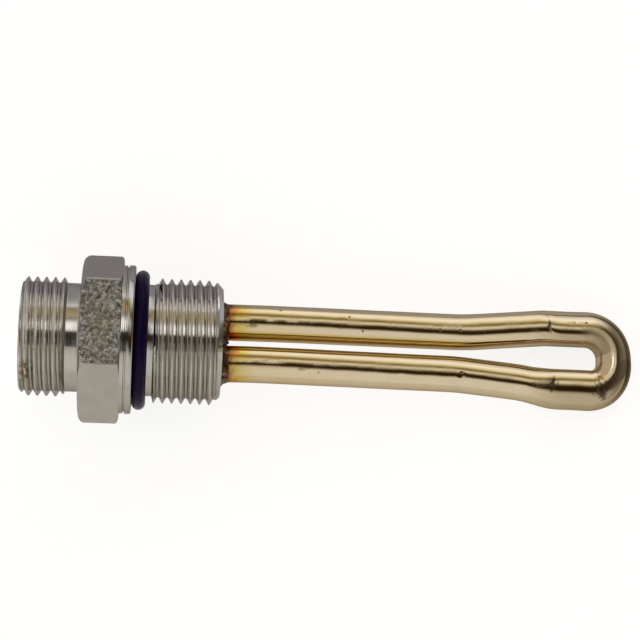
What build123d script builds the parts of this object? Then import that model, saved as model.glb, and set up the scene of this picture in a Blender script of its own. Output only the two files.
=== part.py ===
from build123d import *
import math
import os

# Immersion engine block heater, in millimetres.
# The model is laid out on its own thread axis first (x along the axis, x = 0 on the
# sealing face of the collar, +x towards the heating loop) and is then tipped by the
# small angle at which the loose heater lies on a flat surface: on the lower edge of
# its collar and hexagon and on the nose of its loop.

# ---- driving dimensions -------------------------------------------------------------
# cord side
cord_end_x = -23.8          # mouth of the cord-side socket
cord_thread_r = 12.85       # crest radius of the cord-side male thread
cord_thread_end_x = -14.7   # where the thread runs out
cord_mouth_r = 11.6         # radius at the chamfered mouth
cord_chamfer = 1.1          # axial length of that chamfer
neck_r = 11.65              # plain neck between thread and hexagon

# hexagon and collar
hex_af = 32.0               # across flats
hex_x0, hex_x1 = -11.2, -2.55
hex_cham_back = 1.4        # axial depth of the corner chamfer on the cord side
hex_cham_front = 0.7        # and on the collar side
collar_r = 15.98
collar_back_r = 15.9        # slightly narrower band next to the hexagon
collar_groove_r = 15.5
collar_groove_x = (-1.75, -1.4)
collar_edge = 0.25          # chamfer on the sealing edge

# engine side
relief_r = 12.0             # undercut that the sealing ring sits in
relief_x = 3.7
eng_thread_r = 13.5         # crest radius, M27 x 2
eng_thread_x0, eng_thread_x1 = 5.2, 17.2
eng_end_x = 18.8
eng_end_r = 11.7

# sealing ring
seat_r = 15.1               # shallow seat turned into the collar's face for the ring
seat_depth = 0.1            # so that only the rim outside it meets the engine block
ring_section_r = 1.5
ring_r = 13.52              # radius of its centre circle
ring_x = 1.52

# inside of the plug
socket_r = 9.5              # cord-side socket
socket_floor_x = -12.5
chamber_r = 8.6             # chamber behind the terminal carrier
chamber_x = 14.8            # inner side of the end wall

# heating element
sheath_r = 3.95             # 7.9 mm sheath
sheath_bore_r = 3.3
leg_y = 4.6                 # half of the leg spacing at the plug
leg_x0 = 11.5               # open ends of the sheath, inside the chamber
nose_x = 105.2              # centre line of the loop's nose
rear_y, front_y = 6.39, -7.14   # leg centre lines in the wide part of the loop
bend_r = 5.5                # centre-line radius of the two nose bends
route = [
    (leg_x0, leg_y),
    (72.0, leg_y),
    (90.2, rear_y),
    (nose_x, rear_y),
    (nose_x, front_y),
    (91.5, front_y),
    (84.1, -5.8),
    (70.0, -leg_y),
    (leg_x0, -leg_y),
]
route_radii = [60.0, 15.0, bend_r, bend_r, 15.0, 40.0, 60.0]

# inside of the element
coil_r, coil_bore_r = 1.6, 1.1
pin_r = 1.1                 # cold pins
coil_x0 = 32.0              # where the coil is slipped over the cold pins
pin_x1 = 34.0               # inner ends of the cold pins
fill_x0 = 13.0              # where the magnesia starts
pin_x0 = -11.0              # outer ends of the cold pins, inside the contact barrels
bushing_x0 = 9.9

# terminals
carrier_x0, carrier_x1 = -16.0, socket_floor_x
contact_r = 1.2
contact_tip_x = -22.3
barrel_r, barrel_x1 = 1.75, -6.5
earth_z = -5.4

# braze
braze_h = 1.6
braze_spread = 0.9

# how the loose heater lies
reach = math.hypot(collar_r, nose_x + collar_edge)
lie = math.degrees(math.asin(collar_r / reach) - math.asin(sheath_r / reach))


def turned(points):
    """A solid of revolution about the x axis from (x, radius) points."""
    edge = Polyline(*points, close=True)
    return revolve(make_face(edge), axis=Axis.X, revolution_arc=360)


def rod(x0, x1, r, y=0.0, z=0.0):
    """A cylinder along x."""
    return extrude(Plane(origin=(x0, y, z), x_dir=(0, 1, 0), z_dir=(1, 0, 0)) * Circle(r), amount=x1 - x0)


def start_plane(x, y):
    return Plane(origin=(x, y, 0), x_dir=(0, 1, 0), z_dir=(1, 0, 0))


def along_route(x0, outer, inner=None):
    """A round bar or tube along the element's centre line, starting at x0 on each leg."""
    pts = [(x0, leg_y)] + route[1:-1] + [(x0, -leg_y)]
    path = FilletPolyline(*pts, radius=route_radii)
    face = start_plane(x0, leg_y) * Circle(outer)
    body = sweep(face, path=path.wire())
    if inner:
        body -= sweep(start_plane(x0, leg_y) * Circle(inner), path=path.wire())
    return body


# ---- plug body: one turned and milled piece -----------------------------------------
outside = turned([
    (cord_end_x, 0),
    (cord_end_x, cord_mouth_r),
    (cord_end_x + cord_chamfer, cord_thread_r),
    (cord_thread_end_x, cord_thread_r),
    (cord_thread_end_x + 0.6, neck_r),
    (hex_x0 + 0.5, neck_r),
    (hex_x0 + 0.5, 15.0),
    (hex_x1, 15.0),
    (hex_x1, collar_back_r),
    (collar_groove_x[0], collar_back_r),
    (collar_groove_x[0], collar_groove_r),
    (collar_groove_x[1], collar_groove_r),
    (collar_groove_x[1], collar_r),
    (-collar_edge, collar_r),
    (0, collar_r - collar_edge),
    (0, seat_r),
    (-seat_depth, seat_r),
    (-seat_depth, relief_r),
    (relief_x, relief_r),
    (eng_thread_x0, eng_thread_r),
    (eng_thread_x1, eng_thread_r),
    (eng_end_x, eng_end_r),
    (eng_end_x, 0),
])
hex_r = hex_af / 2 / math.cos(math.radians(30))
hexagon = extrude(
    Plane(origin=(hex_x0, 0, 0), x_dir=(0, 1, 0), z_dir=(1, 0, 0)) * RegularPolygon(hex_r, 6),
    amount=hex_x1 - hex_x0,
)
corner_cut = turned([
    (hex_x0, 0),
    (hex_x0, hex_af / 2 - 0.1),
    (hex_x0 + hex_cham_back, hex_r + 0.05),
    (hex_x1 - hex_cham_front, hex_r + 0.05),
    (hex_x1, 16.45),
    (hex_x1, 0),
])
plug = outside + (hexagon & corner_cut)
plug -= turned([
    (cord_end_x, 0),
    (cord_end_x, socket_r + 0.5),
    (cord_end_x + 0.5, socket_r),
    (socket_floor_x, socket_r),
    (socket_floor_x, chamber_r),
    (chamber_x, chamber_r),
    (chamber_x, 0),
])
for y in (leg_y, -leg_y):
    plug -= rod(chamber_x - 1, eng_end_x + 1, sheath_r, y)

# ---- sealing ring -------------------------------------------------------------------
o_ring = revolve(
    Plane(origin=(ring_x, ring_r, 0)) * Circle(ring_section_r),
    axis=Axis.X,
    revolution_arc=360,
)

# ---- heating element ----------------------------------------------------------------
sheath = along_route(leg_x0, sheath_r, sheath_bore_r)
coil = along_route(coil_x0, coil_r, coil_bore_r)
fill = along_route(coil_x0, sheath_bore_r, coil_r)
for y in (leg_y, -leg_y):
    fill += rod(fill_x0, coil_x0, sheath_bore_r, y) - rod(fill_x0, coil_x0, pin_r, y)
core = along_route(pin_x1, coil_bore_r)
magnesia = fill + core

pins, seals, bushings, contacts = {}, {}, {}, {}
for name, y in (("line", leg_y), ("neutral", -leg_y)):
    pins[name] = rod(pin_x0, pin_x1, pin_r, y)
    seals[name] = rod(leg_x0, fill_x0, sheath_bore_r, y) - rod(leg_x0, fill_x0, pin_r, y)
    bushings[name] = rod(bushing_x0, leg_x0, sheath_r - 0.25, y) - rod(bushing_x0, leg_x0, pin_r, y)
    # a turned contact: round-nosed pin, and a barrel crimped over the cold pin
    contacts[name] = (
        Location((0, y, 0))
        * turned([
            (contact_tip_x, 0),
            (contact_tip_x, contact_r - 0.5),
            (contact_tip_x + 0.5, contact_r),
            (carrier_x1, contact_r),
            (carrier_x1, barrel_r),
            (barrel_x1, barrel_r),
            (barrel_x1, pin_r),
            (pin_x0, pin_r),
            (pin_x0, 0),
        ])
    )

# earth contact: a pin with a sprung tab that presses on the chamber wall
earth = Location((0, 0, earth_z)) * turned([
    (contact_tip_x - 0.6, 0),
    (contact_tip_x - 0.6, contact_r - 0.5),
    (contact_tip_x - 0.1, contact_r),
    (carrier_x1, contact_r),
    (carrier_x1 + 0.8, contact_r),
    (carrier_x1 + 0.8, 0),
])
tab = Location((carrier_x1 + 0.4, 0, (earth_z - 8.6) / 2)) * Box(0.8, 3.6, 8.6 + earth_z)
tab += Location((carrier_x1 + 3.0, 0, -8.15)) * Box(6.0, 3.6, 0.9)
earth += tab & rod(carrier_x1, carrier_x1 + 6.0, chamber_r)

# ---- moulded terminal carrier -------------------------------------------------------
carrier = rod(carrier_x0, carrier_x1, socket_r)
for y, z in ((leg_y, 0), (-leg_y, 0), (0, earth_z)):
    carrier -= rod(carrier_x0, carrier_x1, contact_r, y, z)
# polarising rib that keys the cord's plug, standing on the carrier's face
rib = Location((carrier_x0 - 1.5, 0, 8.1)) * Box(3.0, 2.4, 2.8)
carrier += rib & rod(carrier_x0 - 3.0, carrier_x0, socket_r)

# ---- braze pool round both legs -----------------------------------------------------
cones = []
for y in (leg_y, -leg_y):
    cones.append(
        Location((0, y, 0))
        * turned([
            (eng_end_x, 0),
            (eng_end_x, sheath_r + braze_spread),
            (eng_end_x + 0.45, sheath_r + 0.42),
            (eng_end_x + 1.0, sheath_r + 0.16),
            (eng_end_x + braze_h, sheath_r + 0.04),
            (eng_end_x + braze_h, 0),
        ])
    )
web = Location((eng_end_x + 0.65, 0, 0)) * Box(1.3, 1.9, 3.0)
braze = cones[0] + cones[1] + web
for y in (leg_y, -leg_y):
    braze -= rod(eng_end_x - 1, eng_end_x + 3, sheath_r, y)

# ---- potting compound behind the carrier --------------------------------------------
potting = rod(socket_floor_x, chamber_x, chamber_r)
for name, y in (("line", leg_y), ("neutral", -leg_y)):
    potting -= rod(socket_floor_x - 1, barrel_x1, barrel_r, y)
    potting -= rod(barrel_x1 - 1, bushing_x0 + 1, pin_r, y)
    potting -= rod(bushing_x0, leg_x0, sheath_r - 0.25, y)
    potting -= rod(leg_x0, chamber_x + 1, sheath_r, y)
potting -= earth

# ---- lay the heater as it comes to rest, and write one file per piece ----------------
nodes = {
    "plug_body": plug,
    "o_ring": o_ring,
    "element_sheath": sheath,
    "braze_pool": braze,
    "magnesia_fill": magnesia,
    "resistance_coil": coil,
    "line_cold_pin": pins["line"],
    "neutral_cold_pin": pins["neutral"],
    "line_end_seal": seals["line"],
    "neutral_end_seal": seals["neutral"],
    "line_leg_bushing": bushings["line"],
    "neutral_leg_bushing": bushings["neutral"],
    "terminal_carrier": carrier,
    "line_contact": contacts["line"],
    "neutral_contact": contacts["neutral"],
    "earth_contact": earth,
    "potting": potting,
}

os.makedirs("parts", exist_ok=True)
for name, shape in nodes.items():
    laid = Rot(0, lie, 0) * shape
    export_step(laid, f"parts/{name}.step")
    print(name, len(laid.solids()), "solid(s)", round(sum(s.volume for s in laid.solids()), 1), "mm3")
print("lies at", round(lie, 3), "degrees")
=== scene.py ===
import math
import bpy
import numpy as np
from mathutils import Matrix, Vector


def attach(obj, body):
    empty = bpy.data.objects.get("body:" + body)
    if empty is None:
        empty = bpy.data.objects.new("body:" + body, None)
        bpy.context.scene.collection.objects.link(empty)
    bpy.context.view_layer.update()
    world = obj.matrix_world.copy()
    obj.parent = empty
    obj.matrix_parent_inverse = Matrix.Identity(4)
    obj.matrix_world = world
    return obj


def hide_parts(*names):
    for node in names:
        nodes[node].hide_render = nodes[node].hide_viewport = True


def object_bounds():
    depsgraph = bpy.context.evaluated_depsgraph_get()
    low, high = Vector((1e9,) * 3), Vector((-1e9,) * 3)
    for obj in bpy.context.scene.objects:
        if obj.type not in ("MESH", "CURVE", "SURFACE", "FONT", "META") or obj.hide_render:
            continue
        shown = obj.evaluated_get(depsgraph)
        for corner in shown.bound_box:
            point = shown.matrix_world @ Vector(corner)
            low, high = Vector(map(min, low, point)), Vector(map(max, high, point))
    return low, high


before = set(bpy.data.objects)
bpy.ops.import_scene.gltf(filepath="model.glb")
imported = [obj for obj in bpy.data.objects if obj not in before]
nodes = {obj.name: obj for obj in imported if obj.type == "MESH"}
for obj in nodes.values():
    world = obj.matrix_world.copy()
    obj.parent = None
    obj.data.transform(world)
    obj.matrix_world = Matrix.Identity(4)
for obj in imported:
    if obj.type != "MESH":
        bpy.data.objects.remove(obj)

cad_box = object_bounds()

# ======================================================================================
# sizes, in millimetres, on the heater's own thread axis
# ======================================================================================
cord_end_x, cord_thread_end_x = -23.8, -14.7
cord_thread_r, cord_mouth_r, cord_chamfer, neck_r = 12.78, 11.6, 1.1, 11.65
cord_pitch, cord_depth = 1.91, 1.10
hex_af, hex_x0, hex_x1 = 32.0, -11.2, -2.55
collar_r, collar_back_r, collar_groove_r = 15.98, 15.9, 15.55
collar_groove_x = (-1.75, -1.4)
collar_edge = 0.25
seat_r, seat_depth = 15.1, 0.1
relief_r, relief_x = 12.0, 4.2
eng_thread_r, eng_thread_x0, eng_thread_x1 = 13.42, 4.62, 17.2
eng_end_x, eng_end_r = 18.8, 11.7
eng_pitch, eng_depth = 2.0, 1.20
ring_section_r, ring_r, ring_x = 1.5, 13.52, 1.52
socket_r, socket_floor_x, chamber_r, chamber_x = 9.5, -12.5, 8.6, 14.8
sheath_r, sheath_bore_r, leg_y, leg_x0 = 3.95, 3.3, 4.6, 11.5
nose_x, rear_y, front_y, bend_r = 105.2, 6.39, -7.14, 6.3
route = [(leg_x0, leg_y), (72.0, leg_y), (90.2, rear_y), (nose_x, rear_y), (nose_x, front_y),
         (91.5, front_y), (84.1, -5.8), (70.0, -leg_y), (leg_x0, -leg_y)]
route_radii = [60.0, 15.0, bend_r, bend_r, 15.0, 40.0, 60.0]

reach = math.hypot(collar_r, nose_x + collar_edge)
lie = math.asin(collar_r / reach) - math.asin(sheath_r / reach)
CL, SL = math.cos(lie), math.sin(lie)


def to_row(p):
    """(n, 3) millimetres on the thread axis -> metres in the row frame, tipped as the heater lies."""
    p = np.asarray(p, float)
    out = np.empty_like(p)
    out[..., 0] = (p[..., 0] * CL + p[..., 2] * SL) / 1000
    out[..., 1] = p[..., 1] / 1000
    out[..., 2] = (-p[..., 0] * SL + p[..., 2] * CL) / 1000
    return out


def dir_row(v):
    v = np.asarray(v, float)
    return np.array([v[0] * CL + v[2] * SL, v[1], -v[0] * SL + v[2] * CL])


# ======================================================================================
# camera: the photo's angle, a long lens nearly square to the thread axis
# ======================================================================================
IMG, FOCAL = 640.0, 1796.0
CAM_D, CAM_FOOT, CAM_EL = 388.3, 4.17, math.radians(13.0)
FOOT_PX = (153.0, 340.6)
ROLL = math.radians(2.3)
axis_l = np.array([1.0, 0.0, 0.0])
view_l = np.array([0.0, -math.sin(CAM_EL), math.cos(CAM_EL)])
up_l = np.array([0.0, math.cos(CAM_EL), math.sin(CAM_EL)])
cam_pos = np.array([CAM_FOOT, 0.0, 0.0]) + CAM_D * view_l


def camera_axes():
    wc = np.array([(FOOT_PX[0] - IMG / 2) / FOCAL, -(FOOT_PX[1] - IMG / 2) / FOCAL, 1.0])
    wc /= np.linalg.norm(wc)
    t = np.array([math.cos(ROLL), -math.sin(ROLL), 0.0])
    ac = t - wc * np.dot(t, wc)
    ac /= np.linalg.norm(ac)
    w = -view_l
    mc = np.stack([wc, ac, np.cross(wc, ac)], 1)
    mw = np.stack([w, axis_l, -np.cross(w, axis_l)], 1)
    return mc @ mw.T            # rows: right, up, forward


R = camera_axes()
right, up, fwd = (dir_row(v) for v in R)
cam_data = bpy.data.cameras.new("camera")
cam_data.sensor_width = 36.0
cam_data.sensor_fit = "HORIZONTAL"
cam_data.lens = FOCAL / IMG * 36.0
cam_data.clip_start, cam_data.clip_end = 0.01, 50.0
cam = bpy.data.objects.new("camera", cam_data)
bpy.context.scene.collection.objects.link(cam)
place = to_row(cam_pos)
cam.matrix_world = Matrix((
    (right[0], up[0], -fwd[0], place[0]),
    (right[1], up[1], -fwd[1], place[1]),
    (right[2], up[2], -fwd[2], place[2]),
    (0, 0, 0, 1)))
bpy.context.scene.camera = cam
bpy.context.scene.view_settings.view_transform = "Standard"

# ======================================================================================
# node helpers
# ======================================================================================


def nd(t, kind, props=None, out=0, **ins):
    n = t.nodes.new(kind)
    for k, v in (props or {}).items():
        setattr(n, k, v)
    for k, v in ins.items():
        key = int(k[1:]) if k[0] == "i" and k[1:].isdigit() else k.replace("_", " ")
        s = n.inputs[key]
        if isinstance(v, bpy.types.NodeSocket):
            t.links.new(v, s)
        else:
            s.default_value = v
    return n if out is None else n.outputs[out]


def ma(t, op, a, b=0.0, c=0.0, clamp=False):
    return nd(t, "ShaderNodeMath", {"operation": op, "use_clamp": clamp}, i0=a, i1=b, i2=c)


def smooth(t, v, lo, hi, a=0.0, b=1.0):
    """a below lo, b above hi, smooth between."""
    return nd(t, "ShaderNodeMapRange", {"interpolation_type": "SMOOTHSTEP"}, Value=v, From_Min=lo, From_Max=hi, To_Min=a, To_Max=b)


def lin(t, v, lo, hi, a=0.0, b=1.0):
    return nd(t, "ShaderNodeMapRange", Value=v, From_Min=lo, From_Max=hi, To_Min=a, To_Max=b)


def col(r, g=None, b=None):
    return (r, r, r, 1.0) if g is None else (r, g, b, 1.0)


def mix(t, fac, a, b, mode="MIX"):
    return nd(t, "ShaderNodeMix", {"data_type": "RGBA", "blend_type": mode}, out=2, i0=fac, i6=a, i7=b)


def vec(t, x=0.0, y=0.0, z=0.0):
    return nd(t, "ShaderNodeCombineXYZ", X=x, Y=y, Z=z)


def noise(t, v, scale, detail=2.0, rough=0.5, out=0, dims="3D"):
    return nd(t, "ShaderNodeTexNoise", {"noise_dimensions": dims}, out=out, Vector=v, Scale=scale, Detail=detail, Roughness=rough)


def ramp(t, v, stops, interp="LINEAR"):
    n = nd(t, "ShaderNodeValToRGB", out=None, Fac=v)
    n.color_ramp.interpolation = interp
    e = n.color_ramp.elements
    while len(e) > 1:
        e.remove(e[-1])
    e[0].position, e[0].color = stops[0][0], stops[0][1]
    for p, c in stops[1:]:
        x = e.new(p)
        x.color = c
    return n.outputs[0]


def material(name):
    m = bpy.data.materials.new(name)
    m.use_nodes = True
    t = m.node_tree
    t.nodes.clear()
    o = t.nodes.new("ShaderNodeOutputMaterial")
    p = t.nodes.new("ShaderNodeBsdfPrincipled")
    t.links.new(p.outputs[0], o.inputs[0])
    return m, t, p


def put(t, p, **ins):
    for k, v in ins.items():
        s = p.inputs[k.replace("_", " ")]
        if isinstance(v, bpy.types.NodeSocket):
            t.links.new(v, s)
        else:
            s.default_value = v


def local_mm(t):
    """The thread-axis coordinates of a CAD node, in millimetres, from its object coordinates."""
    o = nd(t, "ShaderNodeTexCoord", out=3)
    return nd(t, "ShaderNodeMapping", {"vector_type": "POINT"}, Vector=o, Rotation=(0.0, -lie, 0.0), Scale=(1000.0, 1000.0, 1000.0))


def attr(t, name, out=2):
    return nd(t, "ShaderNodeAttribute", {"attribute_name": name}, out=out)


def bump(t, height, dist, strength=1.0, normal=None):
    n = nd(t, "ShaderNodeBump", out=None, Height=height, Distance=dist, Strength=strength)
    if normal is not None:
        t.links.new(normal, n.inputs["Normal"])
    return n.outputs[0]


# ======================================================================================
# world: soft studio light, two long softboxes and a dark card over a pale table
# ======================================================================================
world = bpy.data.worlds.new("studio")
bpy.context.scene.world = world
world.use_nodes = True
t = world.node_tree
t.nodes.clear()
d = nd(t, "ShaderNodeTexCoord", out=0)


def dot(v):
    w = dir_row(v)
    return nd(t, "ShaderNodeVectorMath", {"operation": "DOT_PRODUCT"}, out=1, i0=d, i1=tuple(w))


du, dv, da = dot(up_l), dot(view_l), dot(axis_l)
beta = ma(t, "DEGREES", ma(t, "ARCTAN2", du, dv))
gamma = ma(t, "DEGREES", ma(t, "ARCSINE", da))
pos = lambda a: (a + 180.0) / 360.0


def sky(angle, stops):
    return ramp(t, ma(t, "MULTIPLY_ADD", angle, 1 / 360.0, 0.5), [(pos(a_), col(*c_) if isinstance(c_, tuple) else col(c_)) for a_, c_ in stops])


# over the plug
sky_p = sky(beta, [
    (-180, 0.26), (-132, 0.33), (-122, 0.50), (-100, 0.54), (-90, (0.60, 0.59, 0.55)), (-80, (0.74, 0.725, 0.66)), (-62, (0.84, 0.825, 0.75)), (-45, (0.87, 0.85, 0.77)), (-33, (0.78, 0.76, 0.69)),
    (-25, (0.68, 0.66, 0.60)), (-20.5, 0.55), (-18.5, 0.035), (-8, 0.018), (3, (0.022, 0.019, 0.016)), (11, 0.04), (13.5, 0.95), (17, 1.60),
    (24, 1.85), (29.5, 1.70), (33.5, 1.0), (37, 0.58), (40, (0.36, 0.32, 0.26)), (45, (0.60, 0.47, 0.29)), (52, (0.68, 0.51, 0.30)),
    (60, (0.46, 0.37, 0.21)), (65.5, (0.52, 0.47, 0.40)), (69, (1.06, 1.02, 0.98)), (74, (0.95, 0.92, 0.90)), (79.5, 0.60),
    (90, 0.43), (125, 0.33), (180, 0.25)])
# over the element: the bands slope along its length
g_lim = ma(t, "SUBTRACT", ma(t, "MINIMUM", ma(t, "MAXIMUM", gamma, 3.2), 11.0), 7.0)
b_leg = ma(t, "MULTIPLY_ADD", g_lim, 2.1, beta)
sky_l = sky(b_leg, [
    (-180, (0.30, 0.28, 0.24)), (-130, (0.40, 0.37, 0.33)), (-105, 0.55), (-90, 0.66), (-78, 0.78), (-60, 0.80), (-24, 0.80),
    (-17, 0.70), (-11, (0.38, 0.35, 0.30)), (-7, (0.12, 0.09, 0.05)), (-4, (0.030, 0.019, 0.007)), (9, (0.030, 0.019, 0.007)),
    (13, (0.08, 0.058, 0.026)), (18, (0.22, 0.19, 0.12)), (22, (0.46, 0.43, 0.36)), (25.5, (0.70, 0.68, 0.62)), (31, (0.86, 0.84, 0.79)),
    (36, (0.74, 0.71, 0.60)), (41, (0.40, 0.35, 0.20)), (45, (0.25, 0.20, 0.075)), (49, (0.25, 0.20, 0.075)), (54, (0.42, 0.37, 0.20)),
    (60, (0.66, 0.62, 0.45)), (65, (0.92, 0.90, 0.72)), (71, (1.08, 1.07, 1.00)), (80, (1.20, 1.20, 1.24)), (88, (1.08, 1.08, 1.13)),
    (95, (0.88, 0.87, 0.90)), (105, (0.66, 0.65, 0.65)), (120, (0.45, 0.42, 0.37)), (140, (0.32, 0.28, 0.18)), (180, (0.28, 0.26, 0.17))])
env = mix(t, smooth(t, gamma, 1.75, 2.05), sky_p, sky_l)
# a pale card beyond the cord side, a dark one beyond and above the loop
env = mix(t, ma(t, "MULTIPLY", smooth(t, gamma, -11.0, -4.3, 1.0, 0.0), smooth(t, beta, -60.0, -20.0, 0.3, 1.0)), env, col(0.50, 0.47, 0.41))
high = smooth(t, beta, 35.0, 80.0)
edge_g = ma(t, "ADD", ma(t, "MULTIPLY", smooth(t, gamma, 15.0, 22.0), ma(t, "SUBTRACT", 1.0, high)), ma(t, "MULTIPLY", smooth(t, gamma, 17.0, 44.0), high))
far_dark = ma(t, "MULTIPLY", edge_g, smooth(t, beta, -42.0, -14.0))
far_c = mix(t, smooth(t, gamma, 24.0, 62.0), col(0.050, 0.038, 0.022), col(0.18, 0.158, 0.138))
env = mix(t, far_dark, env, mix(t, high, far_c, col(0.24, 0.215, 0.22)))
far_low = ma(t, "MULTIPLY", smooth(t, gamma, 26.0, 60.0), smooth(t, beta, -42.0, -10.0, 1.0, 0.0))
env = mix(t, far_low, env, col(0.42, 0.40, 0.37))
seen = nd(t, "ShaderNodeLightPath", out=0)
bg_light = nd(t, "ShaderNodeBackground", Color=env, Strength=1.0)
bg_back = nd(t, "ShaderNodeBackground", Color=col(0.93), Strength=1.0)
mixed = nd(t, "ShaderNodeMixShader", i0=seen, i1=bg_light, i2=bg_back)
nd(t, "ShaderNodeOutputWorld", out=None, Surface=mixed)

# ======================================================================================
# floor
# ======================================================================================
floor_z = cad_box[0][2] if not hasattr(cad_box[0], "z") else cad_box[0].z
fm, t, p = material("floor_pale")
t.nodes.remove(p)
obj = nd(t, "ShaderNodeTexCoord", out=3)
fy = nd(t, "ShaderNodeSeparateXYZ", out=1, i0=obj)
grain = noise(t, obj, 60.0, 3.0)
fx = nd(t, "ShaderNodeSeparateXYZ", out=0, i0=obj)
# painted light, seen only in reflections: there the floor glows, brighter on the -Y side than on the +Y side, with
# a painted dark patch past the loop's nose
beyond = ma(t, "MULTIPLY", smooth(t, fx, 0.100, 0.122), smooth(t, fy, -0.030, -0.006))
matte_c = mix(t, lin(t, grain, 0.3, 0.7, 0.0, 0.05), col(0.34, 0.33, 0.31), col(0.36))
matte = nd(t, "ShaderNodeBsdfDiffuse", Color=mix(t, beyond, matte_c, col(0.09, 0.08, 0.07)))
lit = mix(t, smooth(t, fy, -0.05, 0.05), col(0.52, 0.50, 0.46), col(0.25, 0.25, 0.30))
lit = mix(t, beyond, lit, col(0.045, 0.038, 0.030))
away = nd(t, "ShaderNodeAddShader", i0=matte, i1=nd(t, "ShaderNodeEmission", Color=lit, Strength=1.0))
pale = mix(t, lin(t, grain, 0.3, 0.7, 0.0, 1.0), col(0.470, 0.470, 0.468), col(0.476, 0.476, 0.474))
near_d = nd(t, "ShaderNodeBsdfDiffuse", Color=pale)
glow = nd(t, "ShaderNodeEmission", Color=col(1.0), Strength=0.80)
both = nd(t, "ShaderNodeAddShader", i0=near_d, i1=glow)
seen = nd(t, "ShaderNodeLightPath", out=0)
last = nd(t, "ShaderNodeMixShader", i0=seen, i1=away, i2=both)
t.links.new(last, [n for n in t.nodes if n.type == "OUTPUT_MATERIAL"][0].inputs[0])
fmesh = bpy.data.meshes.new("floor")
S = 3.0
fmesh.from_pydata([(-S, -S, floor_z), (S, -S, floor_z), (S, S, floor_z), (-S, S, floor_z)], [], [(0, 1, 2, 3)])
fmesh.materials.append(fm)
floor = bpy.data.objects.new("floor", fmesh)
bpy.context.scene.collection.objects.link(floor)

# ======================================================================================
# mesh helpers
# ======================================================================================


def weld(P, F, tol=2e-5):
    """Merges equal points and drops or narrows the faces that collapse."""
    key = np.round(P / tol).astype(np.int64)
    _, first, inv = np.unique(key, axis=0, return_index=True, return_inverse=True)
    inv = inv.reshape(-1)
    out, seen_f = [], set()
    for f in F:
        g = []
        for i in inv[list(f)]:
            if not g or g[-1] != i:
                g.append(int(i))
        if len(g) > 1 and g[0] == g[-1]:
            g.pop()
        if len(g) < 3 or len(set(g)) < len(g):
            continue
        k = tuple(sorted(g))
        if k in seen_f:
            continue
        seen_f.add(k)
        out.append(g)
    return first, out


def build(name, P, F, mat, node, attrs=None, sharp=32.0, loc=None):
    """A piece from points in millimetres on the thread axis, standing for one CAD node."""
    me = bpy.data.meshes.new(name)
    me.from_pydata([tuple(v) for v in to_row(P)], [], [tuple(f) for f in F])
    me.validate()
    a = me.attributes.new("loc", "FLOAT_VECTOR", "POINT")
    a.data.foreach_set("vector", np.asarray(P if loc is None else loc, np.float32).ravel())
    for k, v in (attrs or {}).items():
        a = me.attributes.new(k, "FLOAT", "POINT")
        a.data.foreach_set("value", np.asarray(v, np.float32))
    me.update()
    me.polygons.foreach_set("use_smooth", np.ones(len(me.polygons), bool))
    if sharp:
        me.set_sharp_from_angle(angle=math.radians(sharp))
    me.materials.append(mat)
    o = bpy.data.objects.new(name, me)
    bpy.context.scene.collection.objects.link(o)
    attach(o, "root")
    if node:
        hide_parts(node)
    return o


def orient(P, F):
    """Consistent outward faces, by bmesh."""
    import bmesh
    me = bpy.data.meshes.new("tmp")
    me.from_pydata([tuple(v) for v in P], [], [tuple(f) for f in F])
    bm = bmesh.new()
    bm.from_mesh(me)
    bmesh.ops.recalc_face_normals(bm, faces=bm.faces)
    out = [[v.index for v in f.verts] for f in bm.faces]
    bm.free()
    bpy.data.meshes.remove(me)
    return out


# ======================================================================================
# plug body: revolved grid with helical threads, hexagon and hammered face
# ======================================================================================
rng = np.random.default_rng(41)


def face_cols(c, n):
    e = [-30.0, -29.75, -29.5, -29.22, -28.75]
    return [c + a for a in e + list(np.linspace(-28.1, 28.1, n)) + [-x for x in e[:0:-1]]]


cols = []
for k, c in enumerate((-120, -60, 0, 60, 120, 180)):
    cols += face_cols(c, 100 if c == 0 else 26)
cols = np.array(cols)
cols = np.sort((cols + 180.0) % 360.0 - 180.0)
N = len(cols)
cols_r = np.radians(cols)
sin_c, cos_c = np.sin(cols_r), np.cos(cols_r)

# hexagon radius in each column, with slightly rounded corners
off = (cols + 30.0) % 60.0 - 30.0                  # from the nearest flat's centre
corner = 0.3
s_t = (hex_af / 2 - corner) * math.tan(math.radians(30))
lim = math.degrees(math.atan2(s_t, hex_af / 2))
dc = (hex_af / 2 - corner) / math.cos(math.radians(30))
oc = np.radians(30.0 - np.abs(off))
hex_r = np.where(np.abs(off) <= lim, hex_af / 2 / np.cos(np.radians(off)),
                 dc * np.cos(oc) + np.sqrt(np.maximum(corner ** 2 - (dc * np.sin(oc)) ** 2, 0)))


NP = 16


def thread_profile(pitch, depth):
    """Phases over one pitch, 0 at the crest's middle, and radius offsets: exact 60 degree flanks, narrow crest, small root."""
    run = (depth - 0.05) / (math.sqrt(3) * pitch)
    a_ = 0.42 * (0.5 - run)
    b_ = a_ + run
    g = 0.012
    u = [0.0, 0.6 * a_, a_, a_ + g, 0.5 * (a_ + b_), b_ - g, b_, 0.5 * (b_ + 0.5), 0.5]
    fl = lambda v: -0.025 - (v - a_) * math.sqrt(3) * pitch
    r = [0.0, -0.004, -0.025, fl(u[3]), fl(u[4]), fl(u[5]), -depth + 0.025, -depth + 0.004, -depth]
    ph = [-v for v in u[:0:-1]] + u[:-1]
    return np.array(ph), np.array(r[:0:-1] + r[:-1]), a_


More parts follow.
